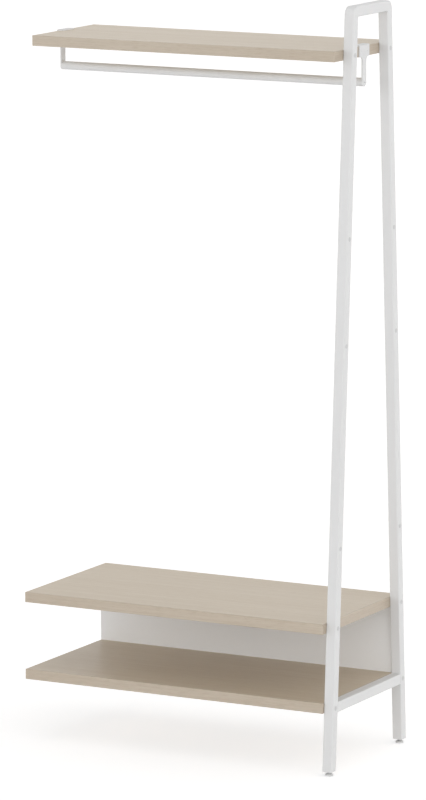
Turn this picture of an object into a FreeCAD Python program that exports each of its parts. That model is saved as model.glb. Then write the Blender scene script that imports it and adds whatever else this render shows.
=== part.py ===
"""Ladder coat rack: the add-on bay of an open hall stand.

Millimetres, +Z up, floor at Z = 0. The ladder frame stands at the right (+X) end and the shelves reach
to the left from it. The origin is under the middle of the whole bay.
"""
import FreeCAD
import Part
import Sketcher
import math
import operator
import os
from types import SimpleNamespace

SIZES = (
    ("bay_length", 800, "length of the three shelves"),
    ("board", 25, "thickness of the shelf boards"),
    ("band", 2, "thickness of the edge banding"),
    ("arris", 1, "rounding of the banding's long edges"),
    ("hat_depth", 300, "depth of the hat shelf"),
    ("bench_depth", 400, "depth of the bench and shoe shelves"),
    ("hat_top", 1700, "height of the hat shelf's top"),
    ("bench_top", 363, "height of the bench shelf's top"),
    ("shoe_top", 174, "height of the shoe shelf's top and of the rung"),
    ("frame_height", 1800, "height of the ladder frame"),
    ("base_depth", 405, "depth of the ladder over its legs, at the floor"),
    ("top_depth", 200, "depth of the ladder over its legs, at the top"),
    ("tube", 25, "side of the square tube"),
    ("tube_wall", 1.5, "wall of the square tube"),
    ("tube_edge", 2.5, "rounding of the tube's long edges"),
    ("corner_radius", 20, "outer radius of the ladder's top corners"),
    ("leg_gap", 10.5, "height of the legs' lower ends"),
    ("spare_low", 538, "height of the lowest spare holes"),
    ("spare_middle", 1013, "height of the middle spare holes"),
    ("spare_high", 1262, "height of the highest spare holes"),
    ("bolt_hole", 7, "bolt holes in the legs' inner walls, diameter"),
    ("access_hole", 9.6, "access holes in the legs' outer walls, diameter"),
    ("bolt", 6, "thread of the shelf bolts, diameter"),
    ("bolt_length", 16, "bolt shank below its head"),
    ("bolt_head", 9, "head of the shelf bolts, diameter"),
    ("bolt_head_height", 4, "head of the shelf bolts, height"),
    ("hex", 4, "hexagon sockets, across flats"),
    ("hex_depth", 2, "hexagon sockets, depth"),
    ("insert", 10, "threaded inserts, outer diameter"),
    ("insert_bore", 6.2, "threaded inserts, bore at the thread's crest"),
    ("insert_length", 15, "threaded inserts, length"),
    ("cap", 11, "caps on the access holes, diameter"),
    ("cap_proud", 0.8, "how far the caps stand proud"),
    ("cap_stem", 9.4, "stem of the caps, diameter"),
    ("cap_depth", 6, "stem of the caps, length"),
    ("panel", 18, "thickness of the back panel"),
    ("panel_setback", 25, "panel's front face to the shelves' rear edge"),
    ("panel_band", 1, "end banding of the back panel"),
    ("panel_joint_reach", 300, "outer panel fixings, from the middle of the bay"),
    ("dowel", 8, "panel dowels, diameter"),
    ("dowel_reach", 14, "how far a dowel goes into each board"),
    ("panel_screw_head", 10, "panel screws, head diameter"),
    ("panel_screw_sink", 4, "panel screws, height of the head"),
    ("panel_screw", 7, "panel screws, shank diameter"),
    ("panel_screw_thread", 5, "panel screws, thread diameter"),
    ("panel_screw_bite", 26, "panel screws, thread length in the panel"),
    ("rail", 20, "hang rail, diameter"),
    ("rail_wall", 1.5, "hang rail, wall"),
    ("rail_height", 1615, "height of the hang rail's axis"),
    ("rail_plug_length", 18, "plugs in the hang rail's ends, length"),
    ("plate", 3, "thickness of the rail plates"),
    ("plate_width", 52, "width of a rail plate's head"),
    ("plate_fillet", 10, "fillet between a rail plate's head and strip"),
    ("plate_lip", 15, "reach of a rail plate's lip over the shelf"),
    ("plate_screw_reach", 16, "plate screws, from the middle of the shelf"),
    ("plate_screw", 4, "plate screws, diameter"),
    ("plate_screw_head", 8, "plate screws, head diameter"),
    ("plate_screw_length", 32, "plate screws, length"),
    ("rail_screw_head", 11, "rail screws, head diameter"),
    ("rail_screw_length", 16, "rail screws, length"),
    ("stud", 8, "foot studs, thread diameter"),
    ("stud_top", 44, "height of the foot studs' upper ends"),
    ("stud_clearance", 0.05, "running clearance round the foot studs"),
    ("stud_neck", 6, "foot studs, neck inside the pad, diameter"),
    ("stud_flange", 9, "foot studs, captive flange, diameter"),
    ("stud_flange_low", 0.6, "foot studs, underside of the flange"),
    ("stud_flange_high", 2.1, "foot studs, top of the flange"),
    ("foot_play", 0.3, "play between stud and pad"),
    ("pad", 20, "foot pads, diameter"),
    ("pad_rim", 3.2, "foot pads, height of the rim"),
    ("pad_crown", 12, "foot pads, diameter at the crown"),
    ("pad_height", 6.3, "foot pads, height"),
    ("pad_edge", 0.6, "foot pads, bevel of the lower edge"),
    ("plug_length", 25, "threaded plugs in the legs' lower ends, length"),
)
OPERATIONS = {"+": operator.add, "-": operator.sub, "*": operator.mul, "/": operator.truediv}
SHEET = "Sizes"
CLOSE = 1e-6


class Measure:
    """A size in millimetres, with the expression on the sheet's cells that it comes from."""

    def __init__(self, value, text=None):
        self.value = float(value)
        self.text = str(value) if text is None else text

    def _with(self, sign, other, swapped=False):
        pair = [self, as_measure(other)]
        if swapped:
            pair.reverse()
        first, second = pair
        value = OPERATIONS[sign](first.value, second.value)
        return Measure(value, f"({first.text} {sign} {second.text})")

    def __add__(self, other):
        return self._with("+", other)

    def __radd__(self, other):
        return self._with("+", other, swapped=True)

    def __sub__(self, other):
        return self._with("-", other)

    def __rsub__(self, other):
        return self._with("-", other, swapped=True)

    def __mul__(self, other):
        return self._with("*", other)

    def __rmul__(self, other):
        return self._with("*", other, swapped=True)

    def __truediv__(self, other):
        return self._with("/", other)

    def __rtruediv__(self, other):
        return self._with("/", other, swapped=True)

    def __neg__(self):
        return self._with("*", -1)


def as_measure(size):
    return size if isinstance(size, Measure) else Measure(size)


def root(size):
    return Measure(math.sqrt(size.value), f"sqrt({size.text})")


# The document and its sheet of driving dimensions
doc = FreeCAD.newDocument("LadderCoatRack")
sheet = doc.addObject("Spreadsheet::Sheet", SHEET)
for row, (alias, size, meaning) in enumerate(SIZES, start=1):
    sheet.set(f"A{row}", meaning)
    sheet.set(f"B{row}", str(size))
    sheet.setAlias(f"B{row}", alias)
doc.recompute()
d = SimpleNamespace(**{alias: Measure(size, f"{SHEET}.{alias}") for alias, size, _ in SIZES})

# Places worked out from the driving dimensions
bay_left = -(d.bay_length + d.tube + d.cap_proud - d.plate) / 2
bay_right = bay_left + d.bay_length
ladder_middle = bay_right + d.tube / 2
bay_middle = bay_left + d.bay_length / 2
run = (d.base_depth - d.top_depth) / 2 / d.frame_height
secant = root(1 + run * run)
panel_middle = d.bench_depth / 2 - d.panel_setback + d.panel / 2
panel_low = d.shoe_top
panel_high = d.bench_top - d.board
panel_joints = [bay_middle + step * d.panel_joint_reach for step in (-1, 0, 1)]
SIDES = {"front": -1, "rear": 1}
SHELVES = {
    "hat_shelf": (d.hat_depth, d.hat_top),
    "bench_shelf": (d.bench_depth, d.bench_top),
    "shoe_shelf": (d.bench_depth, d.shoe_top),
}
shelf_bolt_heights = [top - d.board / 2 for _, top in SHELVES.values()]
leg_hole_heights = shelf_bolt_heights + [d.spare_low, d.spare_middle, d.spare_high]
nodes = []


def leg_line(inset, height):
    """Distance from the middle plane to a line in the leg, inset from its outer face, at a height."""
    return d.base_depth / 2 - inset * secant - run * height


def leg_axis(height):
    return leg_line(d.tube / 2, height)


def node(feature, label):
    """Names a finished sub-part and puts it on the list of those that are written."""
    feature.Label = label
    nodes.append(feature)
    return feature


def new_body(label, x=0, y=0, z=0, turn=0):
    """An empty body whose own origin lies at the given place, turned about Z."""
    body = doc.addObject("PartDesign::Body", label)
    body.Placement = FreeCAD.Placement(FreeCAD.Vector(), FreeCAD.Rotation(FreeCAD.Vector(0, 0, 1), turn))
    place_at(body, x, y, z)
    return body


def place_at(feature, x, y, z):
    for axis, size in zip("xyz", (x, y, z)):
        feature.setExpression(f"Placement.Base.{axis}", as_measure(size).text)


def sketch_on(body, role, offset=None):
    """A sketch on one of the body's own origin planes, or parallel to it."""
    plane = next(item for item in body.Origin.OriginFeatures if item.Role == role)
    sketch = body.newObject("Sketcher::SketchObject", f"{body.Name}_sketch")
    sketch.AttachmentSupport = (plane, "")
    sketch.MapMode = "FlatFace"
    if offset is not None:
        sketch.setExpression("AttachmentOffset.Base.z", offset.text)
    return sketch


def dimension(sketch, kind, *where, size):
    index = sketch.addConstraint(Sketcher.Constraint(kind, *where, size.value))
    sketch.setExpression(f"Constraints[{index}]", size.text)


def fix_along(sketch, curve, end, axis, place):
    """Dimensions a point from the sketch's origin along one axis, or lays it on the other axis."""
    size = as_measure(place)
    if abs(size.value) < CLOSE:
        other = {"x": -2, "y": -1}[axis]
        sketch.addConstraint(Sketcher.Constraint("PointOnObject", curve, end, other))
    else:
        dimension(sketch, f"Distance{axis.upper()}", -1, 1, curve, end, size=size)


def fix_point(sketch, curve, end, x, y):
    fix_along(sketch, curve, end, "x", x)
    fix_along(sketch, curve, end, "y", y)


def outline(sketch, points, arcs=None):
    """A closed outline. arcs gives centre and radius of the side that starts at a point's index."""
    flat = [FreeCAD.Vector(as_measure(x).value, as_measure(y).value, 0) for x, y in points]
    ends = []
    for index, start in enumerate(flat):
        stop = flat[(index + 1) % len(flat)]
        if arcs and index in arcs:
            (x, y), radius = arcs[index]
            centre = FreeCAD.Vector(as_measure(x).value, as_measure(y).value, 0)
            angles = [math.atan2(p.y - centre.y, p.x - centre.x) for p in (start, stop)]
            forward = (angles[1] - angles[0]) % (2 * math.pi) < math.pi
            circle = Part.Circle(centre, FreeCAD.Vector(0, 0, 1), radius.value)
            curve = sketch.addGeometry(Part.ArcOfCircle(circle, *(angles if forward else angles[::-1])))
            ends.append((curve, 1, 2) if forward else (curve, 2, 1))
        else:
            ends.append((sketch.addGeometry(Part.LineSegment(start, stop)), 1, 2))
    for index, (curve, first, last) in enumerate(ends):
        following, following_first, _ = ends[(index + 1) % len(ends)]
        sketch.addConstraint(Sketcher.Constraint("Coincident", curve, last, following, following_first))
        fix_point(sketch, curve, first, *points[index])
        if arcs and index in arcs:
            # The centre lies on the line that halves the chord, so one dimension places it
            x, y = arcs[index][0]
            chord = flat[(index + 1) % len(flat)] - flat[index]
            axis, place = ("y", y) if abs(chord.x) > abs(chord.y) else ("x", x)
            fix_along(sketch, curve, 3, axis, place)


def rectangle(sketch, x0, y0, x1, y1):
    outline(sketch, [(x0, y0), (x1, y0), (x1, y1), (x0, y1)])


def circles(sketch, centres, diameter):
    for x, y in centres:
        middle = FreeCAD.Vector(as_measure(x).value, as_measure(y).value, 0)
        curve = sketch.addGeometry(Part.Circle(middle, FreeCAD.Vector(0, 0, 1), diameter.value / 2))
        fix_point(sketch, curve, 3, x, y)
        dimension(sketch, "Radius", curve, size=diameter / 2)


def hexagon(sketch, across_flats):
    flat = across_flats / 2
    reach = across_flats / root(Measure(3))
    upper = [(reach, 0), (reach / 2, flat), (-reach / 2, flat)]
    outline(sketch, upper + [(-x, -y) for x, y in upper])


def extrude(body, kind, sketch, length, symmetric=False, reverse=False):
    """A pad or a pocket of a sketch. A pocket has to take something away."""
    before = body.Tip.Shape.Volume if body.Tip else 0.0
    feature = body.newObject(f"PartDesign::{kind}", f"{body.Name}_{kind.lower()}")
    feature.Profile = sketch
    feature.setExpression("Length", length.text)
    if symmetric:
        feature.SideType = "Symmetric"
    feature.Reversed = reverse
    doc.recompute()
    change = feature.Shape.Volume - before
    if (change < 0) != (kind == "Pocket") or abs(change) < CLOSE:
        raise RuntimeError(f"{body.Name}: {kind} changed the volume by {change:.3f}")
    return feature


def revolve(body, sketch, axis):
    feature = body.newObject("PartDesign::Revolution", f"{body.Name}_turned")
    feature.Profile = sketch
    feature.ReferenceAxis = (sketch, [axis])
    feature.Angle = 360
    doc.recompute()
    return feature


def fillet(body, base, chosen, size):
    """Rounds the edges of a feature that a test picks."""
    names = [f"Edge{i}" for i, edge in enumerate(base.Shape.Edges, start=1) if chosen(edge)]
    if not names:
        raise RuntimeError(f"{body.Name}: no edge to round")
    feature = body.newObject("PartDesign::Fillet", f"{body.Name}_fillet")
    feature.Base = (base, names)
    feature.setExpression("Radius", size.text)
    doc.recompute()
    return feature


def spread(edge, axis):
    """How far an edge reaches along an axis."""
    values = [getattr(vertex.Point, axis) for vertex in edge.Vertexes]
    return max(values) - min(values)


def group(label, places, source=None, pieces=()):
    """One node of several separate solids: copies of a source at places, or given pieces."""
    members = list(pieces)
    for index, (x, y, z, turn) in enumerate(places):
        link = doc.addObject("App::Link", f"{label}_{index}")
        link.LinkedObject = source
        link.Placement = FreeCAD.Placement(
            FreeCAD.Vector(), FreeCAD.Rotation(FreeCAD.Vector(0, 0, 1), turn)
        )
        place_at(link, x, y, z)
        members.append(link)
    compound = doc.addObject("Part::Compound", label)
    compound.Links = members
    doc.recompute()
    return node(compound, label)


# The ladder frame: legs, top bar and rung, each a hollow square tube in the plane of the ladder


def corner_points(inset):
    """Points of a top corner's arc: its centre, its ends on the leg and on top, its middle on the mitre."""
    radius = d.corner_radius - inset
    height = d.frame_height - d.corner_radius
    centre = leg_line(d.corner_radius, height)
    cosine = 1 / secant
    sine = run / secant
    halving = root(2 + 2 * sine)
    return SimpleNamespace(
        radius=radius,
        centre=(centre, height),
        on_leg=(centre + radius * cosine, height + radius * sine),
        on_mitre=(centre + radius * cosine / halving, height + radius * (1 + sine) / halving),
        on_top=(centre, height + radius),
    )


def inner_corner(inset):
    height = d.frame_height - d.tube + inset
    return leg_line(d.tube - inset, height), height


def on_side(side, point):
    return side * point[0], point[1]


def leg_outline(sketch, side, inset):
    """A leg up to its mitre. An inset gives the outline of its hollow."""
    corner = corner_points(inset)
    points = [
        (leg_line(inset, d.leg_gap), d.leg_gap),
        corner.on_leg,
        corner.on_mitre,
        inner_corner(inset),
        (leg_line(d.tube - inset, d.leg_gap), d.leg_gap),
    ]
    arcs = {1: (on_side(side, corner.centre), corner.radius)}
    outline(sketch, [on_side(side, point) for point in points], arcs)


def bar_outline(sketch, inset):
    """The top bar between its two mitres."""
    corner = corner_points(inset)
    half = [inner_corner(inset), corner.on_mitre, corner.on_top]
    points = [on_side(-1, point) for point in half] + half[::-1]
    arcs = {1: (on_side(-1, corner.centre), corner.radius), 3: (corner.centre, corner.radius)}
    outline(sketch, points, arcs)


def joins(edge, seam):
    """True for an edge between the two points of a seam, on either side of the middle plane."""
    ends = sorted((abs(vertex.Y), vertex.Z) for vertex in edge.Vertexes)
    wanted = sorted((y.value, z.value) for y, z in seam)
    return all(math.dist(end, point) < CLOSE for end, point in zip(ends, wanted))


def tube_piece(body, draw, seams):
    """Pads a tube's outline, rounds its edges except at the seams where the tube ends, and hollows it."""
    sketch = sketch_on(body, "YZ_Plane")
    draw(sketch, Measure(0))
    solid = extrude(body, "Pad", sketch, d.tube, symmetric=True)

    def runs_along(edge):
        on_cheek = spread(edge, "x") < CLOSE
        return on_cheek and not any(joins(edge, seam) for seam in seams)

    fillet(body, solid, runs_along, d.tube_edge)
    hollow = sketch_on(body, "YZ_Plane")
    draw(hollow, d.tube_wall)
    extrude(body, "Pocket", hollow, d.tube - 2 * d.tube_wall, symmetric=True)


def mitre_seam():
    return corner_points(Measure(0)).on_mitre, inner_corner(Measure(0))


def leg(name, side):
    body = new_body(f"{name}_leg", x=ladder_middle)
    foot_seam = [(leg_line(inset, d.leg_gap), d.leg_gap) for inset in (Measure(0), d.tube)]
    tube_piece(body, lambda sketch, inset: leg_outline(sketch, side, inset), [mitre_seam(), foot_seam])
    centres = [(side * leg_axis(height), height) for height in leg_hole_heights]
    for diameter, outwards in ((d.access_hole, True), (d.bolt_hole, False)):
        sketch = sketch_on(body, "YZ_Plane")
        circles(sketch, centres, diameter)
        extrude(body, "Pocket", sketch, d.tube, reverse=outwards)
    return node(body, f"{name}_leg")


def top_bar():
    body = new_body("top_bar", x=ladder_middle)
    tube_piece(body, bar_outline, [mitre_seam()])
    return node(body, "top_bar")


def rung_end(inset):
    """Lower and upper point of the rung's end, on the inner face of a leg."""
    heights = (d.shoe_top - d.tube + inset, d.shoe_top - inset)
    return [(leg_line(d.tube, height), height) for height in heights]


def rung_outline(sketch, inset):
    end = rung_end(inset)
    outline(sketch, [on_side(-1, point) for point in end] + end[::-1])


def lower_rung():
    body = new_body("lower_rung", x=ladder_middle)
    tube_piece(body, rung_outline, [rung_end(Measure(0))])
    return node(body, "lower_rung")


# The feet: a threaded plug in each leg, a stud that screws in it and a pad that turns on the stud


def leg_plug(name, side):
    body = new_body(f"{name}_leg_plug", x=ladder_middle)
    high = d.leg_gap + d.plug_length
    outer = d.tube_wall
    inner = d.tube - d.tube_wall
    corners = [(outer, d.leg_gap), (outer, high), (inner, high), (inner, d.leg_gap)]
    sketch = sketch_on(body, "YZ_Plane")
    outline(sketch, [(side * leg_line(inset, height), height) for inset, height in corners])
    extrude(body, "Pad", sketch, d.tube - 2 * d.tube_wall, symmetric=True)
    thread = sketch_on(body, "XY_Plane")
    circles(thread, [(0, side * foot_place)], d.stud + 2 * d.stud_clearance)
    extrude(body, "Pocket", thread, high, reverse=True)
    return node(body, f"{name}_leg_plug")


def foot_stud(name, side):
    body = new_body(f"{name}_foot_stud", x=ladder_middle, y=side * foot_place)
    shoulder = d.pad_height + d.foot_play
    bevel = (d.stud - d.stud_neck) / 2
    profile = [
        (0, d.stud_flange_low),
        (d.stud_flange / 2, d.stud_flange_low),
        (d.stud_flange / 2, d.stud_flange_high),
        (d.stud_neck / 2, d.stud_flange_high),
        (d.stud_neck / 2, shoulder),
        (d.stud / 2, shoulder),
        (d.stud / 2, d.stud_top - bevel),
        (d.stud / 2 - bevel, d.stud_top),
        (0, d.stud_top),
    ]
    sketch = sketch_on(body, "XZ_Plane")
    outline(sketch, profile)
    revolve(body, sketch, "V_Axis")
    return node(body, f"{name}_foot_stud")


def foot_pad(name, side):
    body = new_body(f"{name}_foot_pad", x=ladder_middle, y=side * foot_place)
    seat = d.stud_flange_high + d.foot_play
    bore = d.stud_neck / 2 + d.stud_clearance
    pocket = d.stud_flange / 2 + d.foot_play
    profile = [
        (pocket, 0),
        (d.pad / 2 - d.pad_edge, 0),
        (d.pad / 2, d.pad_edge),
        (d.pad / 2, d.pad_rim),
        (d.pad_crown / 2, d.pad_height),
        (bore, d.pad_height),
        (bore, seat),
        (pocket, seat),
    ]
    sketch = sketch_on(body, "XZ_Plane")
    outline(sketch, profile)
    revolve(body, sketch, "V_Axis")
    return node(body, f"{name}_foot_pad")


# The shelves: a board with banding on its four edges, and sockets in its ends


def end_holes(label, top):
    """Holes in each end of a shelf, in its own frame: their centres, diameter and depth."""
    middle = d.board / 2
    inserts = [(side * leg_axis(top - middle), middle) for side in SIDES.values()]
    holes = [(inserts, d.insert, d.insert_length)]
    if label == "hat_shelf":
        screws = [(side * d.plate_screw_reach, middle) for side in SIDES.values()]
        holes.append((screws, d.plate_screw, d.plate_screw_length - d.plate))
    return holes


def panel_holes(label):
    """Holes in a shelf's underside for what fixes the back panel: their diameter and depth."""
    if label == "bench_shelf":
        return [(d.dowel, d.dowel_reach)]
    if label == "shoe_shelf":
        return [(d.panel_screw, d.board), (d.panel_screw_head, d.panel_screw_sink)]
    return []


def shelf(label, depth, top):
    half = depth / 2
    core = new_body(label, x=bay_left, z=top - d.board)
    sketch = sketch_on(core, "XY_Plane")
    rectangle(sketch, d.band, d.band - half, d.bay_length - d.band, half - d.band)
    extrude(core, "Pad", sketch, d.board)
    for centres, diameter, deep in end_holes(label, top):
        for offset, at_left in ((Measure(0), True), (d.bay_length, False)):
            drill = sketch_on(core, "YZ_Plane", offset)
            circles(drill, centres, diameter)
            extrude(core, "Pocket", drill, deep, reverse=at_left)
    for diameter, deep in panel_holes(label):
        drill = sketch_on(core, "XY_Plane")
        circles(drill, [(x - bay_left, panel_middle) for x in panel_joints], diameter)
        extrude(core, "Pocket", drill, deep, reverse=True)
    node(core, label)
    strips = [long_strip(label, name, side, half, top) for name, side in SIDES.items()]
    strips += [end_strip(label, end, half, top) for end in ("left", "right")]
    group(f"{label}_edging", [], pieces=strips)


def strip_outline(sketch, inner, outer):
    """Section of a strip of banding; the two edges of its outer face are rounded."""
    shoulder = outer - d.arris if outer.value > inner.value else outer + d.arris
    upper = d.board - d.arris
    below = [(inner, 0), (shoulder, 0), (outer, d.arris)]
    above = [(outer, upper), (shoulder, d.board), (inner, d.board)]
    arcs = {1: ((shoulder, d.arris), d.arris), 3: ((shoulder, upper), d.arris)}
    outline(sketch, below + above, arcs)


def long_strip(label, name, side, half, top):
    """Banding along a shelf's front or rear edge."""
    body = new_body(f"{label}_{name}_band", x=bay_left, z=top - d.board)
    sketch = sketch_on(body, "YZ_Plane")
    strip_outline(sketch, side * (half - d.band), side * half)
    extrude(body, "Pad", sketch, d.bay_length)
    return body


def end_strip(label, end, half, top):
    """Banding on a shelf's left or right end, between the long strips."""
    body = new_body(f"{label}_{end}_band", x=bay_left if end == "left" else bay_right, z=top - d.board)
    sketch = sketch_on(body, "XZ_Plane")
    inwards = d.band if end == "left" else -d.band
    strip_outline(sketch, inwards, Measure(0))
    extrude(body, "Pad", sketch, 2 * (half - d.band), symmetric=True)
    for centres, diameter, _ in end_holes(label, top):
        drill = sketch_on(body, "YZ_Plane")
        circles(drill, centres, diameter)
        extrude(body, "Pocket", drill, d.band, reverse=end == "left")
    return body


# The back panel and what fixes it between the bench and the shoe shelf


def back_panel():
    body = new_body("back_panel", x=bay_left, y=panel_middle, z=panel_low)
    height = panel_high - panel_low
    sketch = sketch_on(body, "XY_Plane")
    rectangle(sketch, d.panel_band, -d.panel / 2, d.bay_length - d.panel_band, d.panel / 2)
    extrude(body, "Pad", sketch, height)
    centres = [(x - bay_left, 0) for x in panel_joints]
    sockets = sketch_on(body, "XY_Plane", height)
    circles(sockets, centres, d.dowel)
    extrude(body, "Pocket", sockets, d.dowel_reach)
    pilots = sketch_on(body, "XY_Plane")
    circles(pilots, centres, d.panel_screw_thread)
    extrude(body, "Pocket", pilots, d.panel_screw_bite, reverse=True)
    node(body, "back_panel")
    band = new_body("back_panel_band")
    band_sketch = sketch_on(band, "XY_Plane")
    rectangle(band_sketch, 0, -d.panel / 2, d.panel_band, d.panel / 2)
    extrude(band, "Pad", band_sketch, height)
    ends = [bay_left, bay_right - d.panel_band]
    group("back_panel_edging", [(x, panel_middle, panel_low, 0) for x in ends], source=band)


def panel_dowels():
    body = new_body("dowel")
    bevel = d.arris
    profile = [
        (0, -d.dowel_reach),
        (d.dowel / 2 - bevel, -d.dowel_reach),
        (d.dowel / 2, bevel - d.dowel_reach),
        (d.dowel / 2, d.dowel_reach - bevel),
        (d.dowel / 2 - bevel, d.dowel_reach),
        (0, d.dowel_reach),
    ]
    sketch = sketch_on(body, "XZ_Plane")
    outline(sketch, profile)
    revolve(body, sketch, "V_Axis")
    group("panel_dowels", [(x, panel_middle, panel_high, 0) for x in panel_joints], source=body)


def panel_screws():
    body = new_body("panel_screw_piece")
    tip = d.board + d.panel_screw_bite
    profile = [
        (0, 0),
        (d.panel_screw_head / 2, 0),
        (d.panel_screw_head / 2, d.panel_screw_sink),
        (d.panel_screw / 2, d.panel_screw_sink),
        (d.panel_screw / 2, d.board),
        (d.panel_screw_thread / 2, d.board),
        (d.panel_screw_thread / 2, tip - d.panel_screw_thread / 2),
        (0, tip),
    ]
    sketch = sketch_on(body, "XZ_Plane")
    outline(sketch, profile)
    revolve(body, sketch, "V_Axis")
    socket = sketch_on(body, "XY_Plane")
    hexagon(socket, d.hex)
    extrude(body, "Pocket", socket, d.hex_depth, reverse=True)
    low = d.shoe_top - d.board
    group("panel_screws", [(x, panel_middle, low, 0) for x in panel_joints], source=body)


# The hang rail, and the plates that carry it from the ends of the hat shelf


def hang_rail():
    body = new_body("hang_rail", x=bay_left, z=d.rail_height)
    sketch = sketch_on(body, "YZ_Plane")
    circles(sketch, [(0, 0)], d.rail)
    circles(sketch, [(0, 0)], d.rail - 2 * d.rail_wall)
    extrude(body, "Pad", sketch, d.bay_length)
    return node(body, "hang_rail")


def lies_at(edge, axis, place):
    """True for an edge all of whose points have the given place along an axis."""
    return all(abs(getattr(vertex.Point, axis) - place.value) < CLOSE for vertex in edge.Vertexes)


def rail_plate(label, x, turn):
    """A T-shaped plate on a shelf's end: head with a lip over the board, strip, round lower end."""
    body = new_body(label, x=x, turn=turn)
    head = d.plate_width / 2
    strip = d.rail / 2
    head_low = d.hat_top - d.board
    head_high = d.hat_top + d.plate
    fillet_low = head_low - d.plate_fillet
    knee = strip + d.plate_fillet
    points = [
        (-head, head_high),
        (-head, head_low),
        (-knee, head_low),
        (-strip, fillet_low),
        (-strip, d.rail_height),
        (0, d.rail_height - strip),
        (strip, d.rail_height),
        (strip, fillet_low),
        (knee, head_low),
        (head, head_low),
        (head, head_high),
    ]
    arcs = {
        2: ((-knee, fillet_low), d.plate_fillet),
        4: ((0, d.rail_height), strip),
        5: ((0, d.rail_height), strip),
        7: ((knee, fillet_low), d.plate_fillet),
    }
    sketch = sketch_on(body, "YZ_Plane")
    outline(sketch, points, arcs)
    extrude(body, "Pad", sketch, d.plate)
    lip = sketch_on(body, "YZ_Plane")
    rectangle(lip, -head, d.hat_top, head, head_high)
    folded = extrude(body, "Pad", lip, d.plate_lip, reverse=True)

    def is_fold(edge):
        return lies_at(edge, "x", d.plate) and lies_at(edge, "z", head_high)

    fillet(body, folded, is_fold, d.plate - d.arris / 2)
    screw_height = d.hat_top - d.board / 2
    screws = [(side * d.plate_screw_reach, screw_height) for side in SIDES.values()]
    jobs = (
        (screws, d.plate_screw, d.plate_screw_head),
        ([(0, d.rail_height)], d.bolt_hole, d.rail_screw_head),
    )
    for centres, hole, head_size in jobs:
        drill = sketch_on(body, "YZ_Plane")
        circles(drill, centres, hole)
        extrude(body, "Pocket", drill, d.plate, reverse=True)
        countersink(body, centres, hole, head_size)
    return node(body, label)


def countersink(body, centres, hole, head_size):
    """Opens the outer rims of a plate's holes at 45 degrees, for the heads of its screws."""
    rims = sketch_on(body, "YZ_Plane", d.plate)
    circles(rims, centres, head_size)
    sink = extrude(body, "Pocket", rims, (head_size - hole) / 2)
    sink.TaperAngle = -45
    doc.recompute()


def countersunk_screw(label, head, shank, length, tip):
    """A screw along -X, its head flush with the plane X = 0 of its own frame. tip is its end's profile."""
    body = new_body(label)
    sink = (head - shank) / 2
    profile = [(0, 0), (0, head / 2), (-sink, shank / 2)] + tip
    sketch = sketch_on(body, "XY_Plane")
    outline(sketch, profile)
    revolve(body, sketch, "H_Axis")
    socket = sketch_on(body, "YZ_Plane")
    hexagon(socket, d.hex * shank / d.bolt)
    extrude(body, "Pocket", socket, d.hex_depth * shank / d.bolt)
    return body


def rail_fixings():
    """Screws of the rail plates, screws in the rail's ends and the plugs that these screw into."""
    ends = ((bay_right + d.plate, 0), (bay_left - d.plate, 180))
    shank = d.plate_screw
    length = d.plate_screw_length
    point = [(shank / 2 - length, shank / 2), (-length, 0)]
    wood_screw = countersunk_screw("plate_screw_piece", d.plate_screw_head, shank, length, point)
    height = d.hat_top - d.board / 2
    places = [(x, side * d.plate_screw_reach, height, turn) for x, turn in ends for side in SIDES.values()]
    group("rail_plate_screws", places, source=wood_screw)
    bevel = d.arris / 2
    length = d.rail_screw_length
    flat_end = [(bevel - length, d.bolt / 2), (-length, d.bolt / 2 - bevel), (-length, 0)]
    machine_screw = countersunk_screw("rail_screw_piece", d.rail_screw_head, d.bolt, length, flat_end)
    group("rail_end_screws", [(x, 0, d.rail_height, turn) for x, turn in ends], source=machine_screw)
    plug = new_body("rail_plug_piece")
    sketch = sketch_on(plug, "YZ_Plane")
    circles(sketch, [(0, 0)], d.rail - 2 * d.rail_wall)
    circles(sketch, [(0, 0)], d.insert_bore)
    extrude(plug, "Pad", sketch, d.rail_plug_length, reverse=True)
    places = [(bay_right, 0, d.rail_height, 0), (bay_left, 0, d.rail_height, 180)]
    group("rail_end_plugs", places, source=plug)


# What fastens the shelves to the ladder, and closes the ladder's holes


def shelf_fixings():
    """Threaded inserts in the shelves' ends, bolts from the ladder, and caps on its outer holes."""
    insert = new_body("insert_piece")
    sketch = sketch_on(insert, "YZ_Plane")
    circles(sketch, [(0, 0)], d.insert)
    circles(sketch, [(0, 0)], d.insert_bore)
    extrude(insert, "Pad", sketch, d.insert_length, reverse=True)
    bolts = [(side * leg_axis(height), height) for height in shelf_bolt_heights for side in SIDES.values()]
    group("left_end_inserts", [(bay_left, y, z, 180) for y, z in bolts], source=insert)
    group("right_end_inserts", [(bay_right, y, z, 0) for y, z in bolts], source=insert)
    bolt = shelf_bolt()
    under_head = bay_right + d.tube_wall
    group("shelf_bolts", [(under_head, y, z, 0) for y, z in bolts], source=bolt)
    cap = hole_cap()
    holes = [(side * leg_axis(height), height) for height in leg_hole_heights for side in SIDES.values()]
    group("hole_caps", [(bay_right + d.tube, y, z, 0) for y, z in holes], source=cap)


def shelf_bolt():
    """A bolt along X. Its head bears on the plane X = 0 of its own frame."""
    body = new_body("bolt_piece")
    bevel = d.arris / 2
    profile = [
        (d.bolt_head_height, 0),
        (d.bolt_head_height, d.bolt_head / 2 - bevel),
        (d.bolt_head_height - bevel, d.bolt_head / 2),
        (0, d.bolt_head / 2),
        (0, d.bolt / 2),
        (bevel - d.bolt_length, d.bolt / 2),
        (-d.bolt_length, d.bolt / 2 - bevel),
        (-d.bolt_length, 0),
    ]
    sketch = sketch_on(body, "XY_Plane")
    outline(sketch, profile)
    revolve(body, sketch, "H_Axis")
    socket = sketch_on(body, "YZ_Plane", d.bolt_head_height)
    hexagon(socket, d.hex)
    extrude(body, "Pocket", socket, d.hex_depth)
    return body


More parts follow.
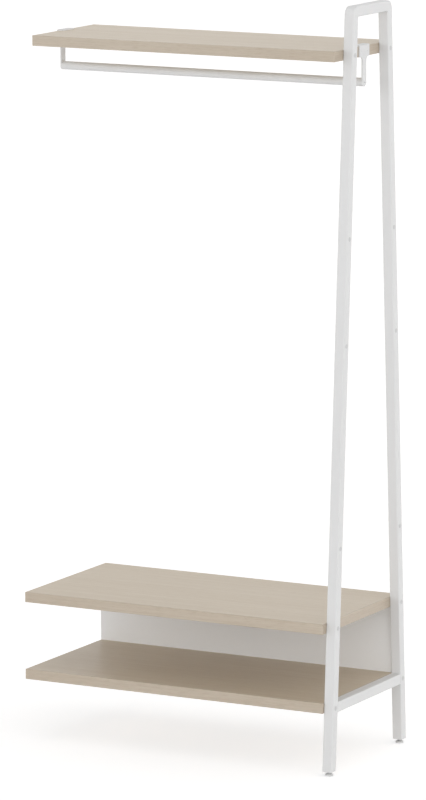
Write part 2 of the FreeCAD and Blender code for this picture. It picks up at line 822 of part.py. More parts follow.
def hole_cap():
    """A push-in cap: a low crown outside the tube and a stem in its hole."""
    body = new_body("cap_piece")
    rim = d.cap_proud / 4
    profile = [
        (-d.cap_depth, 0),
        (-d.cap_depth, d.cap_stem / 2 - d.arris),
        (d.arris - d.cap_depth, d.cap_stem / 2),
        (0, d.cap_stem / 2),
        (0, d.cap / 2),
        (rim, d.cap / 2),
        (d.cap_proud, d.cap / 2 - d.arris),
        (d.cap_proud, 0),
    ]
    sketch = sketch_on(body, "XY_Plane")
    outline(sketch, profile)
    revolve(body, sketch, "H_Axis")
    return body


foot_place = leg_axis(d.leg_gap)
for name, side in SIDES.items():
    leg(name, side)
    leg_plug(name, side)
    foot_stud(name, side)
    foot_pad(name, side)
top_bar()
lower_rung()
for label, (depth, top) in SHELVES.items():
    shelf(label, depth, top)
back_panel()
panel_dowels()
panel_screws()
hang_rail()
rail_plate("right_rail_plate", bay_right, 0)
rail_plate("left_rail_plate", bay_left, 180)
rail_fixings()
shelf_fixings()
doc.recompute()

failed = [item.Name for item in doc.Objects if {"Invalid", "Error"} & set(item.State)]
failed += [item.Label for item in nodes if item.Shape.isNull() or not item.Shape.isValid()]
if failed:
    raise RuntimeError(f"not built: {failed}")
os.makedirs("parts", exist_ok=True)
for item in nodes:
    item.Shape.exportStep(f"parts/{item.Label}.step")
    box = item.Shape.BoundBox
    low = [round(v, 2) for v in (box.XMin, box.YMin, box.ZMin)]
    high = [round(v, 2) for v in (box.XMax, box.YMax, box.ZMax)]
    volume = item.Shape.Volume / 1000
    print(f"{item.Label}: {len(item.Shape.Solids)} solids, {volume:.2f} cm3, {low} to {high}")
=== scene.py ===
"""Dresses the ladder coat rack: finishes for its CAD pieces, welds, threaded feet and a studio.

Metres, +Z up, floor at Z = 0, the same frame as the CAD model.
"""

import math

import bpy
from bpy.props import FloatProperty, FloatVectorProperty, PointerProperty
from bpy.types import Operator, Panel, PropertyGroup
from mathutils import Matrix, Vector


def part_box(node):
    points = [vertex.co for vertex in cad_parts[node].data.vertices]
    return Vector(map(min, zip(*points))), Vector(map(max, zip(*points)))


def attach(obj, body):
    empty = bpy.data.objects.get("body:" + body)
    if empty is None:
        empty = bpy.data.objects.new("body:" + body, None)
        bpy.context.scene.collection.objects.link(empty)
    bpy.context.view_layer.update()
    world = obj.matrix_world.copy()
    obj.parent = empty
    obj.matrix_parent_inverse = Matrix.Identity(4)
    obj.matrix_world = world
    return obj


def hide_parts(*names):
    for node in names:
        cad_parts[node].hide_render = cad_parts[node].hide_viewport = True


bl_info = {
    "name": "Ladder coat rack",
    "version": (1, 0, 0),
    "blender": (4, 5, 0),
    "location": "3D View > Sidebar > Coat rack",
    "description": "Finishes, welds, threaded feet and a studio for a ladder coat rack",
    "category": "Object",
}

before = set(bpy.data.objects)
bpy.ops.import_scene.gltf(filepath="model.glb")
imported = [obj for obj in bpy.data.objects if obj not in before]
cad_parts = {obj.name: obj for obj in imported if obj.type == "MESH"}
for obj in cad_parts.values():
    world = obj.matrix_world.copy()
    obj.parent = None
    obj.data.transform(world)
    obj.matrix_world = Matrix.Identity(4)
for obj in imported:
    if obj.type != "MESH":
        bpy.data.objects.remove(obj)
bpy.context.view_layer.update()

# The ladder: the side of the middle on which each leg stands, its height, and how much nearer the
# middle a leg is at that height than at the floor.
LEGS = {"front": -1, "rear": 1}
LADDER_HEIGHT = 1.8
LEG_INSET = 0.1025

# Finishes: where most of a noise's values lie, from which share of an axis a face looks along it, and
# the pitches of the threads that are relief only.
NOISE_LOW = 0.3
NOISE_HIGH = 0.7
LOOKS_ALONG = 0.7
BOLT_PITCH = 0.001
PANEL_SCREW_PITCH = 0.003

# Meshes: how near two points are to be one, and the sharpest angle that is still smoothed.
SAME_POINT = 1e-6
ROUND_UP_TO = math.radians(35)

# Welds: the ripple's height is a share of the bead's radius.
RIPPLE_HEIGHT = 0.1
BEAD_ROUNDNESS = 4
BEAD_CUTS = 30
TUBE_EDGE_SEGMENTS = 6

# Foot studs, with the sizes that they have in the CAD model.
PAD_CLEARANCE = 0.0003
STUD_RADIUS = 0.004
NECK_RADIUS = 0.003
FLANGE_RADIUS = 0.0045
FLANGE_HEIGHT = 0.0015

# The studs' core, which is thinner than the CAD model's bar, so its top has a smaller chamfer.
CORE_CHAMFER = 0.0006
CORE_CHAMFER_SEGMENTS = 2
CORE_SIDES = 40

# The thread's ridge: its foot as a share of the pitch, its crest as a share of its foot, and how far it
# sinks into the core as a share of the thread's depth.
RIDGE_FOOT = 0.98
RIDGE_CREST = 0.15
RIDGE_SINK = 0.25
RIDGE_CORNERS = 4
STEPS_IN_A_TURN = 32
RUN_OUT_STEPS = 11

# The studio: the floor as it lights the rack, and as the camera sees its shaded and its plain part;
# the height, as a share of straight up, at which the walls have become ceiling; and the camera.
FLOOR_PAPER = (0.93, 0.93, 0.93, 1.0)
FLOOR_SHADED = (1.0, 0.92, 0.83, 1.0)
FLOOR_PLAIN = (0.797, 0.892, 1.0, 1.0)
WHITE = (1.0, 1.0, 1.0, 1.0)
WALLS_END = 0.7
SENSOR_WIDTH = 36.0
SIGHT = 500.0


def from_screen(red, green, blue):
    """A colour given as 0 to 255 on a screen, as the linear values that a shader takes."""
    shares = (value / 255 for value in (red, green, blue))
    return tuple(s / 12.92 if s <= 0.04045 else ((s + 0.055) / 1.055) ** 2.4 for s in shares)


def colour(name, description, red, green, blue):
    """A colour that a user may change, with its default as seen on a screen."""
    return FloatVectorProperty(
        name=name,
        description=description,
        subtype="COLOR",
        size=3,
        min=0.0,
        max=1.0,
        default=from_screen(red, green, blue),
    )


def length(name, description, metres):
    """A length that a user may change."""
    return FloatProperty(
        name=name,
        description=description,
        unit="LENGTH",
        default=metres,
        min=0.0,
        precision=5,
    )


class CoatRackColours(PropertyGroup):
    """Colours of the rack's finishes."""

    powder_coat: colour("Powder coat", "Ladder, hang rail, rail plates and their screws", 220, 220, 220)
    board: colour("Board", "Faces of the three shelves", 199, 184, 162)
    banding: colour("Banding", "Edge banding of the three shelves", 188, 175, 158)
    panel: colour("Back panel", "Faces and ends of the back panel", 235, 235, 235)
    zinc: colour("Zinc", "Screws, bolts, inserts and foot studs", 222, 223, 225)
    pad: colour("Foot pads", "Moulded pads of the feet", 220, 220, 219)
    cap: colour("Hole caps", "Caps on the ladder's holes", 200, 200, 200)
    plug: colour("Plugs", "Plugs inside the legs and the hang rail", 92, 92, 94)
    beech: colour("Beech", "Dowels of the back panel", 205, 172, 132)


class CoatRackDetails(PropertyGroup):
    """Sizes of the welds and of the feet's threads."""

    bead: length("Weld bead", "Radius of the weld beads", 0.0022)
    ripple: length("Weld ripple", "Distance from one ripple of a weld to the next", 0.0026)
    tube: length("Tube", "Side of the ladder's square tube", 0.025)
    tube_edge: length("Tube edge", "Rounding of the tube's long edges", 0.0025)
    pitch: length("Thread pitch", "Pitch of the foot studs' threads", 0.00125)
    thread_depth: length("Thread depth", "Depth of the foot studs' threads", 0.0006)
    lean: FloatProperty(
        name="Lean",
        description="Angle by which each leg leans in as it rises",
        subtype="ANGLE",
        default=math.atan2(LEG_INSET, LADDER_HEIGHT),
    )


class CoatRackStage(PropertyGroup):
    """The floor, the light and the camera."""

    camera_place: FloatVectorProperty(
        name="Camera place",
        description="Where the camera stands",
        subtype="TRANSLATION",
        unit="LENGTH",
        default=(5.7868, -10.9999, 2.9625),
    )
    camera_turn: FloatProperty(
        name="Camera turn",
        description="The camera's turn to the left, from looking along +Y",
        subtype="ANGLE",
        default=math.radians(27.7743),
    )
    camera_tilt: FloatProperty(
        name="Camera tilt",
        description="How far the camera looks down from the horizon",
        subtype="ANGLE",
        default=math.radians(9.7198),
    )
    lens: FloatProperty(
        name="Lens",
        description="The camera's focal length, in millimetres",
        default=237.87,
        min=1.0,
    )
    walls: FloatProperty(
        name="Walls",
        description="Strength of the light from round the rack",
        default=2.3,
        min=0.0,
    )
    ceiling: FloatProperty(
        name="Ceiling",
        description="Strength of the light from the whole ceiling",
        default=0.25,
        min=0.0,
    )
    lamp: FloatProperty(
        name="Lamp",
        description="Strength of the broad lamp above the rack",
        default=0.7,
        min=0.0,
    )
    lamp_from: FloatVectorProperty(
        name="Lamp from",
        description="Direction from the rack to the lamp",
        subtype="DIRECTION",
        default=(0.3, -0.12, 1.0),
    )
    lamp_spread: FloatProperty(
        name="Lamp spread",
        description="How wide the lamp looks from the rack",
        subtype="ANGLE",
        default=math.radians(75),
    )
    floor_reach: length("Floor reach", "Side of the square floor", 160.0)
    shadow: FloatProperty(
        name="Shadow",
        description="How much of its light the floor can lose under the rack, as the camera sees it",
        subtype="FACTOR",
        default=0.85,
        min=0.0,
        max=1.0,
    )
    floor_glow: FloatProperty(
        name="Floor glow",
        description="How bright the camera sees the floor's part that takes no shadow",
        default=3.41,
        min=0.0,
    )


class Wiring:
    """A node tree, with short ways to add nodes to it."""

    def __init__(self, tree):
        self.tree = tree

    def plug(self, value, socket):
        """Sets a socket to a value, or links it where the value is another node's socket."""
        if isinstance(value, bpy.types.NodeSocket):
            self.tree.links.new(value, socket)
        else:
            socket.default_value = value

    def add(self, kind, inputs=None, **settings):
        """A new node with the given inputs and settings."""
        node = self.tree.nodes.new(kind)
        for name, value in settings.items():
            setattr(node, name, value)
        for name, value in (inputs or {}).items():
            self.plug(value, node.inputs[name])
        return node

    def math(self, operation, *values):
        """One Math node on sockets or numbers."""
        node = self.add("ShaderNodeMath", operation=operation)
        for value, socket in zip(values, node.inputs):
            self.plug(value, socket)
        return node.outputs["Value"]

    def spread(self, value, least, most, low, high):
        """Takes values from least to most to those from low to high."""
        inputs = {"Value": value, "From Min": least, "From Max": most, "To Min": low, "To Max": high}
        return self.add("ShaderNodeMapRange", inputs).outputs["Result"]

    def along(self, axis, vector):
        """A vector's part along an axis."""
        return self.add("ShaderNodeSeparateXYZ", {"Vector": vector}).outputs[axis]

    def mix(self, factor, first, second):
        """Shows the first shader where the factor is 0, the second where it is 1."""
        inputs = {0: factor, 1: first.outputs[0], 2: second.outputs[0]}
        return self.add("ShaderNodeMixShader", inputs)

    def shown(self):
        """1 on rays that the camera sees, also by way of metal or glass, 0 on those that light."""
        path = self.add("ShaderNodeLightPath").outputs
        straight = self.math("MAXIMUM", path["Is Camera Ray"], path["Is Glossy Ray"])
        return self.math("MAXIMUM", straight, path["Is Transmission Ray"])


class Finish(Wiring):
    """A material for a piece of the rack, with the patterns that the finishes share."""

    def __init__(self, name):
        self.material = bpy.data.materials.new(name)
        self.material.use_nodes = True
        super().__init__(self.material.node_tree)
        self.shader = self.tree.nodes["Principled BSDF"]
        self.place = self.add("ShaderNodeTexCoord").outputs["Object"]

    def noise(self, waves, detail=3.0, roughness=0.5):
        """Noise with so many waves per metre along X, Y and Z."""
        stretched = self.add("ShaderNodeMapping", {"Vector": self.place, "Scale": waves})
        inputs = {
            "Vector": stretched.outputs["Vector"],
            "Scale": 1.0,
            "Detail": detail,
            "Roughness": roughness,
        }
        return self.add("ShaderNodeTexNoise", inputs).outputs["Fac"]

    def layered(self, *layers):
        """Several noises added up, each given with its share."""
        total = 0.0
        for value, share in layers:
            total = self.math("MULTIPLY_ADD", value, share, total)
        return total

    def faces_along(self, axis):
        """1 on faces that look along an axis, 0 on those that lie along it."""
        normal = self.add("ShaderNodeNewGeometry").outputs["Normal"]
        share = self.math("ABSOLUTE", self.along(axis, normal))
        return self.math("GREATER_THAN", share, LOOKS_ALONG)

    def choose(self, factor, first, second):
        """The first value where the factor is 0, the second where it is 1."""
        share = self.math("SUBTRACT", 1.0, factor)
        return self.math("MULTIPLY_ADD", second, factor, self.math("MULTIPLY", first, share))

    def tint(self, pattern, shade, depth, warmth=0.0):
        """Colours the surface from a darker to a lighter tone of a shade.

        Warmth turns the darker tone to red.
        """
        swings = [depth * (1 - warmth), depth, depth * (1 + warmth)]
        ramp = self.add("ShaderNodeValToRGB", {"Fac": pattern})
        darker, lighter = ramp.color_ramp.elements
        darker.position = NOISE_LOW
        darker.color = (*(part * (1 - swing) for part, swing in zip(shade, swings)), 1.0)
        lighter.position = NOISE_HIGH
        lighter.color = (*(min(part * (1 + swing), 1.0) for part, swing in zip(shade, swings)), 1.0)
        self.plug(ramp.outputs["Color"], self.shader.inputs["Base Color"])

    def gloss(self, pattern, low, high):
        """Varies the roughness by a pattern."""
        roughness = self.spread(pattern, NOISE_LOW, NOISE_HIGH, low, high)
        self.plug(roughness, self.shader.inputs["Roughness"])

    def relief(self, height, strength, depth):
        """Raises the surface by a pattern, to a depth in metres."""
        inputs = {"Height": height, "Strength": strength, "Distance": depth}
        self.plug(self.add("ShaderNodeBump", inputs).outputs["Normal"], self.shader.inputs["Normal"])


def even(waves):
    """The same number of waves along all three axes."""
    return (waves, waves, waves)


def paint(material, *names):
    """Gives CAD nodes or new pieces a finish."""
    for name in names:
        piece = bpy.data.objects[name]
        piece.data.materials.clear()
        piece.data.materials.append(material)


def powder_coat(shade):
    """Fine textured powder coat on steel."""
    finish = Finish("powder_coat")
    peel = finish.noise(even(900.0), detail=2.0)
    cloud = finish.noise(even(9.0), detail=2.0)
    finish.tint(finish.layered((peel, 0.5), (cloud, 0.5)), shade, depth=0.018)
    finish.gloss(peel, low=0.42, high=0.54)
    finish.relief(peel, strength=0.25, depth=0.0002)
    return finish.material


def wood_pattern(finish, grain_axis):
    """Grain of a printed wood decor along one axis: broad bands, streaks, fibres and short pores."""

    def waves(lengthwise, across):
        return tuple(lengthwise if axis == grain_axis else across for axis in "XYZ")

    bands = finish.noise(waves(0.9, 26.0), detail=3.0, roughness=0.6)
    streaks = finish.noise(waves(2.2, 150.0), detail=3.0, roughness=0.55)
    fibres = finish.noise(waves(9.0, 420.0), detail=4.0, roughness=0.65)
    specks = finish.noise(waves(34.0, 1300.0), detail=2.0)
    pores = finish.spread(specks, least=0.58, most=0.68, low=0.0, high=1.0)
    return finish.layered((bands, 0.3), (streaks, 0.3), (fibres, 0.4), (pores, -0.35))


def wood_decor(name, shade, depth, banded=False):
    """Matt wood decor. On banding, the fibres of the strips on a shelf's ends run along Y."""
    finish = Finish(name)
    grain = wood_pattern(finish, "X")
    if banded:
        grain = finish.choose(finish.faces_along("X"), grain, wood_pattern(finish, "Y"))
    finish.tint(grain, shade, depth, warmth=0.25)
    finish.gloss(grain, low=0.43, high=0.33)
    finish.relief(grain, strength=0.3, depth=0.00025)
    return finish.material


def panel_white(shade):
    """White board with a fine pearl finish."""
    finish = Finish("panel_white")
    pearl = finish.noise(even(620.0), detail=3.0)
    cloud = finish.noise(even(5.0), detail=2.0)
    finish.tint(finish.layered((pearl, 0.5), (cloud, 0.5)), shade, depth=0.014)
    finish.gloss(pearl, low=0.4, high=0.52)
    finish.relief(pearl, strength=0.2, depth=0.0002)
    return finish.material


def zinc(name, shade):
    """Zinc-plated steel with a clouded bloom. Gives the finish and the grain of its plating."""
    finish = Finish(name)
    plating = finish.noise(even(480.0), detail=4.0, roughness=0.6)
    cloud = finish.noise(even(60.0), detail=3.0)
    finish.tint(finish.layered((plating, 0.4), (cloud, 0.6)), shade, depth=0.12)
    finish.gloss(plating, low=0.26, high=0.42)
    finish.shader.inputs["Metallic"].default_value = 1.0
    return finish, plating


def plain_zinc(name, shade):
    """Zinc-plated steel whose thread, if any, is in its shape."""
    finish, plating = zinc(name, shade)
    finish.relief(plating, strength=0.3, depth=0.0001)
    return finish.material


def threaded_zinc(name, shade, thread_axis, pitch):
    """Zinc-plated steel, with a thread's ridges on the faces along its axis."""
    finish, plating = zinc(name, shade)
    climb = finish.along(thread_axis, finish.place)
    ridges = finish.math("DIVIDE", finish.math("PINGPONG", climb, pitch / 2), pitch / 2)
    round_the_axis = finish.math("SUBTRACT", 1.0, finish.faces_along(thread_axis))
    thread = finish.math("MULTIPLY", ridges, round_the_axis)
    height = finish.math("MULTIPLY_ADD", plating, 0.06, thread)
    finish.relief(height, strength=0.6, depth=pitch / 3)
    return finish.material


def moulded_plastic(name, shade, low, high):
    """Moulded plastic with a fine spark-eroded skin and faint flow marks."""
    finish = Finish(name)
    skin = finish.noise(even(1400.0), detail=2.0)
    flow = finish.noise((40.0, 40.0, 140.0), detail=3.0)
    finish.tint(finish.layered((skin, 0.45), (flow, 0.55)), shade, depth=0.05)
    finish.gloss(skin, low, high)
    finish.relief(skin, strength=0.25, depth=0.00015)
    return finish.material


def beech(shade):
    """Plain beech with short flecks, along the dowels."""
    finish = Finish("beech")
    fibres = finish.noise((420.0, 420.0, 18.0), detail=4.0)
    flecks = finish.noise((900.0, 900.0, 160.0), detail=2.0)
    grain = finish.layered((fibres, 0.6), (flecks, 0.4))
    finish.tint(grain, shade, depth=0.12)
    finish.gloss(grain, low=0.55, high=0.7)
    finish.relief(grain, strength=0.3, depth=0.0003)
    return finish.material


class COATRACK_OT_powder_coat(Operator):
    """Powder-coat the ladder, the hang rail, its plates and their screws"""

    bl_idname = "coat_rack.powder_coat"
    bl_label = "Powder coat"

    def execute(self, context):
        material = powder_coat(context.scene.coat_rack_colours.powder_coat)
        paint(material, "front_leg", "rear_leg", "top_bar", "lower_rung")
        paint(material, "hang_rail", "left_rail_plate", "right_rail_plate")
        paint(material, "rail_plate_screws", "rail_end_screws")
        return {"FINISHED"}


class COATRACK_OT_shelves(Operator):
    """Give the three shelves and their banding a wood decor"""

    bl_idname = "coat_rack.shelves"
    bl_label = "Shelves"

    def execute(self, context):
        colours = context.scene.coat_rack_colours
        board = wood_decor("board_decor", colours.board, depth=0.09)
        paint(board, "hat_shelf", "bench_shelf", "shoe_shelf")
        banding = wood_decor("banding_decor", colours.banding, depth=0.16, banded=True)
        paint(banding, "hat_shelf_edging", "bench_shelf_edging", "shoe_shelf_edging")
        return {"FINISHED"}


class COATRACK_OT_back_panel(Operator):
    """Finish the white back panel, its end banding and its dowels"""

    bl_idname = "coat_rack.back_panel"
    bl_label = "Back panel"

    def execute(self, context):
        colours = context.scene.coat_rack_colours
        paint(panel_white(colours.panel), "back_panel", "back_panel_edging")
        paint(beech(colours.beech), "panel_dowels")
        return {"FINISHED"}


class COATRACK_OT_fasteners(Operator):
    """Zinc-plate the panel screws, the bolts and the threaded inserts"""

    bl_idname = "coat_rack.fasteners"
    bl_label = "Fasteners"

    def execute(self, context):
        shade = context.scene.coat_rack_colours.zinc
        lying = threaded_zinc("zinc_lying", shade, "X", BOLT_PITCH)
        paint(lying, "shelf_bolts", "left_end_inserts", "right_end_inserts")
        upright = threaded_zinc("zinc_upright", shade, "Z", PANEL_SCREW_PITCH)
        paint(upright, "panel_screws")
        return {"FINISHED"}


class COATRACK_OT_plastics(Operator):
    """Finish the hole caps, the plugs and the pads of the feet"""

    bl_idname = "coat_rack.plastics"
    bl_label = "Caps, plugs and pads"

    def execute(self, context):
        colours = context.scene.coat_rack_colours
        cap = moulded_plastic("cap_plastic", colours.cap, low=0.42, high=0.55)
        paint(cap, "hole_caps")
        plug = moulded_plastic("plug_plastic", colours.plug, low=0.5, high=0.65)
        paint(plug, "front_leg_plug", "rear_leg_plug", "rail_end_plugs")
        pad = moulded_plastic("pad_plastic", colours.pad, low=0.3, high=0.42)
        paint(pad, "front_foot_pad", "rear_foot_pad")
        return {"FINISHED"}


def take(piece, *others):
    """Selects a piece, with others if any, and makes it the active one."""
    bpy.ops.object.select_all(action="DESELECT")
    for each in (piece, *others):
        each.select_set(True)
    bpy.context.view_layer.objects.active = piece


def edit(piece):
    """Opens a piece alone in edit mode."""
    take(piece)
    bpy.ops.object.mode_set(mode="EDIT")


def close_edit():
    """Goes back from edit mode to object mode."""
    bpy.ops.object.mode_set(mode="OBJECT")


def pick(piece, domain, test):
    """Selects the vertices, edges or polygons that pass a test, of a piece in edit mode."""
    modes = {"vertices": "VERT", "edges": "EDGE", "polygons": "FACE"}
    bpy.ops.mesh.select_mode(type=modes[domain])
    bpy.ops.mesh.select_all(action="DESELECT")
    bpy.ops.object.mode_set(mode="OBJECT")
    for item in getattr(piece.data, domain):
        item.select = test(item)
    bpy.ops.object.mode_set(mode="EDIT")


def settle():
    """Puts the active piece's place into its mesh, so that its object sits at the origin."""
    bpy.ops.object.transform_apply(location=True, rotation=True, scale=True)


def begin(name, add, **settings):
    """A new primitive under a name, alone in edit mode, with its place in its mesh."""
    bpy.ops.object.select_all(action="DESELECT")
    add(**settings)
    piece = bpy.context.object
    piece.name = name
    settle()
    edit(piece)
    return piece


def heal(piece):
    """Merges doubles, turns the faces outwards and smooths what is round."""
    edit(piece)
    bpy.ops.mesh.select_all(action="SELECT")
    bpy.ops.mesh.remove_doubles(threshold=SAME_POINT)
    bpy.ops.mesh.normals_make_consistent(inside=False)
    close_edit()
    bpy.ops.object.shade_smooth_by_angle(angle=ROUND_UP_TO)


def lay_bead(piece, details, closed):
    """Turns a line of edges into a weld bead along it, with the ripples that the torch leaves."""
    bpy.ops.object.convert(target="CURVE")
    line = piece.data
    line.bevel_depth = details.bead
    line.bevel_resolution = BEAD_ROUNDNESS
    line.use_fill_caps = not closed
    points = line.splines[0].points
    travelled = 0.0
    for index, point in enumerate(points):
        if index:
            travelled += (point.co - points[index - 1].co).length
        wave = math.sin(2 * math.pi * travelled / details.ripple)
        point.radius = 1.0 + RIPPLE_HEIGHT * wave
    bpy.ops.object.convert(target="MESH")
    heal(piece)
    paint(bpy.data.materials["powder_coat"], piece.name)
    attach(piece, "rack")


class COATRACK_OT_rung_welds(Operator):
    """Weld the rung's ends to the two legs"""

    bl_idname = "coat_rack.rung_welds"
    bl_label = "Rung welds"

    def execute(self, context):
        details = context.scene.coat_rack_details
        low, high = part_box("lower_rung")
        middle = (low + high) / 2
        rise = (high.z - low.z) / 2
        reach = high.y - rise * math.tan(details.lean)
        for leg, side in LEGS.items():
            place = (middle.x, side * reach, middle.z)
            self.weld(f"{leg}_rung_weld", place, side * details.lean, details)
        return {"FINISHED"}

    def weld(self, name, place, lean, details):
        """A bead round one end of the rung, in the plane of the leg's inner face."""
        piece = begin(
            name,
            bpy.ops.mesh.primitive_plane_add,
            size=details.tube - details.bead,
            location=place,
            rotation=(math.pi / 2 + lean, 0, 0),
        )
        bpy.ops.mesh.bevel(
            offset=details.tube_edge,
            segments=TUBE_EDGE_SEGMENTS,
            affect="VERTICES",
        )
        bpy.ops.mesh.delete(type="ONLY_FACE")
        straight = details.tube / 2

        def is_straight(side):
            first, second = (piece.data.vertices[index].co for index in side.vertices)
            return (first - second).length > straight

        pick(piece, "edges", is_straight)
        bpy.ops.mesh.subdivide(number_cuts=BEAD_CUTS)
        close_edit()
        lay_bead(piece, details, closed=True)


class COATRACK_OT_corner_welds(Operator):
    """Weld the inner corners where the top bar meets the legs"""

    bl_idname = "coat_rack.corner_welds"
    bl_label = "Corner welds"

    def execute(self, context):
        details = context.scene.coat_rack_details
        low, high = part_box("top_bar")
        rung_low, rung_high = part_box("lower_rung")
        reach = rung_high.y - (low.z - rung_low.z) * math.tan(details.lean)
        for leg, side in LEGS.items():
            self.weld(f"{leg}_corner_weld", (low.x + high.x) / 2, side * reach, low.z, details)
        return {"FINISHED"}

    def weld(self, name, x, y, z, details):
        """A short bead across the tube, in the corner under the bar."""
        across = details.tube - 2 * details.tube_edge
        middle = y + across / 2
        piece = begin(
            name,
            bpy.ops.mesh.primitive_plane_add,
            size=across,
            location=(x, middle, z),
        )
        pick(piece, "vertices", lambda vertex: vertex.co.y > middle)
        bpy.ops.mesh.delete(type="VERT")
        bpy.ops.mesh.select_all(action="SELECT")
        bpy.ops.mesh.subdivide(number_cuts=BEAD_CUTS)
        close_edit()
        lay_bead(piece, details, closed=False)


class COATRACK_OT_foot_studs(Operator):
    """Cut the threads of the two foot studs"""

    bl_idname = "coat_rack.foot_studs"
    bl_label = "Foot studs"

    def execute(self, context):
        material = plain_zinc("zinc_stud", context.scene.coat_rack_colours.zinc)
        front = self.stud(context.scene.coat_rack_details)
        rear = front.copy()
        rear.data = front.data.copy()
        rear.name = "rear_threaded_stud"
        context.collection.objects.link(rear)
        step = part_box("rear_foot_stud")[0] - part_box("front_foot_stud")[0]
        take(rear)
        bpy.ops.transform.translate(value=step)
        settle()
        for foot, piece in zip(LEGS, (front, rear)):
            paint(material, piece.name)
            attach(piece, f"{foot}_foot_screw")
            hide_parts(f"{foot}_foot_stud")
        return {"FINISHED"}

    def stud(self, details):
        """The front stud: a core with a neck and a flange below it, and the thread round the core."""
        low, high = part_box("front_foot_stud")
        axis = (low + high) / 2
        pad_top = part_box("front_foot_pad")[1].z
        shoulder = pad_top + PAD_CLEARANCE
        root = STUD_RADIUS - details.thread_depth
        core = self.core(axis, shoulder, high.z, root, low.z)
        thread = self.thread(axis, shoulder, high.z - details.pitch, root, details)
        take(core, thread)
        bpy.ops.object.join()
        return core

    def core(self, axis, shoulder, top, root, low):
        """The stud without its thread: a bar with a bevelled top, a neck and a captive flange."""
        flange_top = low + FLANGE_HEIGHT
        piece = begin(
            "front_threaded_stud",
            bpy.ops.mesh.primitive_cylinder_add,
            vertices=CORE_SIDES,
            radius=root,
            depth=top - shoulder,
            location=(axis.x, axis.y, (top + shoulder) / 2),
        )
        pick(piece, "polygons", lambda face: face.normal.z < -LOOKS_ALONG)
        bpy.ops.mesh.inset(thickness=root - NECK_RADIUS)
        self.extrude(flange_top - shoulder)
        self.extrude(0)
        grow = FLANGE_RADIUS / NECK_RADIUS
        centre = (axis.x, axis.y, flange_top)
        bpy.ops.transform.resize(value=(grow, grow, 1), center_override=centre)
        self.extrude(low - flange_top)

        def is_top_rim(rim):
            return all(piece.data.vertices[i].co.z > top - SAME_POINT for i in rim.vertices)

        pick(piece, "edges", is_top_rim)
        bpy.ops.mesh.bevel(offset=CORE_CHAMFER, segments=CORE_CHAMFER_SEGMENTS)
        close_edit()
        heal(piece)
        return piece

    def extrude(self, rise):
        """Extrudes the selected faces along Z."""
        bpy.ops.mesh.extrude_region_move(TRANSFORM_OT_translate={"value": (0, 0, rise)})

    def thread(self, axis, bottom, top, root, details):
        """One ridge that climbs round the core."""
        foot = root - RIDGE_SINK * details.thread_depth
        deep = STUD_RADIUS - foot
        half_way = (STUD_RADIUS + foot) / 2
        width = details.pitch * RIDGE_FOOT
        middle = bottom + width / 2
        piece = begin(
            "thread_ridge",
            bpy.ops.mesh.primitive_plane_add,
            size=width,
            location=(0, 0, 0),
            rotation=(math.pi / 2, 0, 0),
        )
        bpy.ops.mesh.delete(type="ONLY_FACE")
        bpy.ops.mesh.select_all(action="SELECT")
        bpy.ops.transform.resize(value=(deep / width, 1, 1), center_override=(0, 0, 0))
        bpy.ops.transform.translate(value=(half_way, 0, middle))
        pick(piece, "vertices", lambda vertex: vertex.co.x > half_way)
        bpy.ops.transform.resize(value=(1, 1, RIDGE_CREST), center_override=(0, 0, middle))
        close_edit()
        screw = piece.modifiers.new("climb", "SCREW")
        screw.axis = "Z"
        screw.angle = 2 * math.pi
        screw.screw_offset = details.pitch
        screw.iterations = int((top - bottom) / details.pitch)
        screw.steps = STEPS_IN_A_TURN
        screw.render_steps = STEPS_IN_A_TURN
        bpy.ops.object.modifier_apply(modifier=screw.name)
        edit(piece)
        self.run_out(piece, foot / STUD_RADIUS, half_way)
        bpy.ops.mesh.select_all(action="SELECT")
        bpy.ops.mesh.fill_holes(sides=RIDGE_CORNERS)
        close_edit()
        bpy.ops.transform.translate(value=(axis.x, axis.y, 0))
        settle()
        heal(piece)
        return piece

    def run_out(self, piece, shrink, crest_from):
        """Lets the ridge sink into the core over a third of a turn at both of its ends."""
        rows = len(piece.data.vertices) // RIDGE_CORNERS
        for place in range(RUN_OUT_STEPS):
            ends = (place, rows - 1 - place)

            def is_crest(vertex):
                at_end = vertex.index // RIDGE_CORNERS in ends
                return at_end and vertex.co.xy.length > crest_from

            pick(piece, "vertices", is_crest)
            size = shrink + (1 - shrink) * place / RUN_OUT_STEPS
            bpy.ops.transform.resize(value=(size, size, 1), center_override=(0, 0, 0))


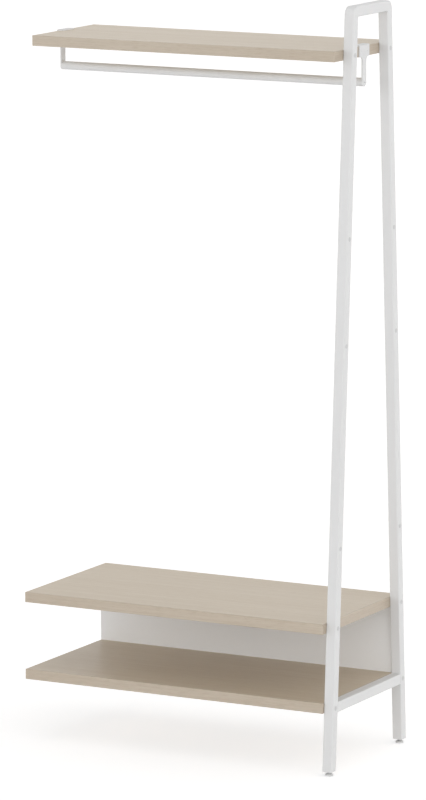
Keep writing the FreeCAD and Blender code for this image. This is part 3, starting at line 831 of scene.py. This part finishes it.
class COATRACK_OT_stage(Operator):
    """Set up the floor, the light and the camera"""

    bl_idname = "coat_rack.stage"
    bl_label = "Stage"

    def execute(self, context):
        stage = context.scene.coat_rack_stage
        context.scene.view_settings.view_transform = "Standard"
        self.floor(stage)
        self.sky(context.scene, stage)
        self.lamp(stage)
        self.camera(context.scene, stage)
        return {"FINISHED"}

    def floor(self, stage):
        """A wide white floor that keeps the rack's shadow."""
        bpy.ops.object.select_all(action="DESELECT")
        bpy.ops.mesh.primitive_plane_add(size=stage.floor_reach)
        floor = bpy.context.object
        floor.name = "studio_floor"
        material = bpy.data.materials.new("studio_floor")
        material.use_nodes = True
        wiring = Wiring(material.node_tree)
        wiring.tree.nodes.clear()
        paper = wiring.add("ShaderNodeBsdfDiffuse", {"Color": FLOOR_PAPER})
        shaded = wiring.add("ShaderNodeBsdfDiffuse", {"Color": FLOOR_SHADED})
        glow = {"Color": FLOOR_PLAIN, "Strength": stage.floor_glow}
        plain = wiring.add("ShaderNodeEmission", glow)
        picture = wiring.mix(stage.shadow, plain, shaded)
        both = wiring.mix(wiring.shown(), paper, picture)
        wiring.add("ShaderNodeOutputMaterial", {"Surface": both.outputs[0]})
        paint(material, floor.name)

    def sky(self, scene, stage):
        """Light from bright walls and a calmer ceiling, white where the camera sees it."""
        scene.world = bpy.data.worlds.new("studio_sky")
        scene.world.use_nodes = True
        wiring = Wiring(scene.world.node_tree)
        wiring.tree.nodes.clear()
        direction = wiring.add("ShaderNodeTexCoord").outputs["Generated"]
        height = wiring.along("Z", direction)
        strength = wiring.spread(height, 0.0, WALLS_END, stage.walls, stage.ceiling)
        light = wiring.add("ShaderNodeBackground", {"Color": WHITE, "Strength": strength})
        picture = wiring.add("ShaderNodeBackground", {"Color": WHITE, "Strength": 1.0})
        both = wiring.mix(wiring.shown(), light, picture)
        wiring.add("ShaderNodeOutputWorld", {"Surface": both.outputs[0]})

    def lamp(self, stage):
        """A broad lamp above the rack."""
        aim = Vector(stage.lamp_from).to_track_quat("Z", "Y").to_euler()
        bpy.ops.object.light_add(type="SUN", rotation=aim)
        lamp = bpy.context.object.data
        lamp.energy = stage.lamp
        lamp.angle = stage.lamp_spread

    def camera(self, scene, stage):
        """The camera, at the photograph's viewing angle."""
        rotation = (math.pi / 2 - stage.camera_tilt, 0, stage.camera_turn)
        bpy.ops.object.camera_add(location=stage.camera_place, rotation=rotation)
        camera = bpy.context.object
        camera.data.lens = stage.lens
        camera.data.sensor_width = SENSOR_WIDTH
        camera.data.clip_end = SIGHT
        scene.camera = camera


class VIEW3D_PT_coat_rack(Panel):
    """Lists the rack's colours and sizes, and the steps that dress it, in order"""

    bl_idname = "VIEW3D_PT_coat_rack"
    bl_label = "Ladder coat rack"
    bl_space_type = "VIEW_3D"
    bl_region_type = "UI"
    bl_category = "Coat rack"

    def draw(self, context):
        scene = context.scene
        for group in (scene.coat_rack_colours, scene.coat_rack_details, scene.coat_rack_stage):
            box = self.layout.box()
            for name in group.bl_rna.properties.keys():
                if name not in ("rna_type", "name"):
                    box.prop(group, name)
        for step in STEPS:
            self.layout.operator(step.bl_idname)


GROUPS = {
    "coat_rack_colours": CoatRackColours,
    "coat_rack_details": CoatRackDetails,
    "coat_rack_stage": CoatRackStage,
}
STEPS = (
    COATRACK_OT_powder_coat,
    COATRACK_OT_shelves,
    COATRACK_OT_back_panel,
    COATRACK_OT_fasteners,
    COATRACK_OT_plastics,
    COATRACK_OT_rung_welds,
    COATRACK_OT_corner_welds,
    COATRACK_OT_foot_studs,
    COATRACK_OT_stage,
)
CLASSES = (*GROUPS.values(), *STEPS, VIEW3D_PT_coat_rack)


def register():
    """Makes the classes and the scene's settings known to Blender."""
    for kind in CLASSES:
        bpy.utils.register_class(kind)
    for name, kind in GROUPS.items():
        setattr(bpy.types.Scene, name, PointerProperty(type=kind))


def unregister():
    """Takes the settings and the classes away again."""
    for name in GROUPS:
        delattr(bpy.types.Scene, name)
    for kind in reversed(CLASSES):
        bpy.utils.unregister_class(kind)


def main():
    """Dresses the rack step by step."""
    register()
    bpy.ops.coat_rack.powder_coat()
    bpy.ops.coat_rack.shelves()
    bpy.ops.coat_rack.back_panel()
    bpy.ops.coat_rack.fasteners()
    bpy.ops.coat_rack.plastics()
    bpy.ops.coat_rack.rung_welds()
    bpy.ops.coat_rack.corner_welds()
    bpy.ops.coat_rack.foot_studs()
    bpy.ops.coat_rack.stage()


if __name__ == "__main__":
    main()
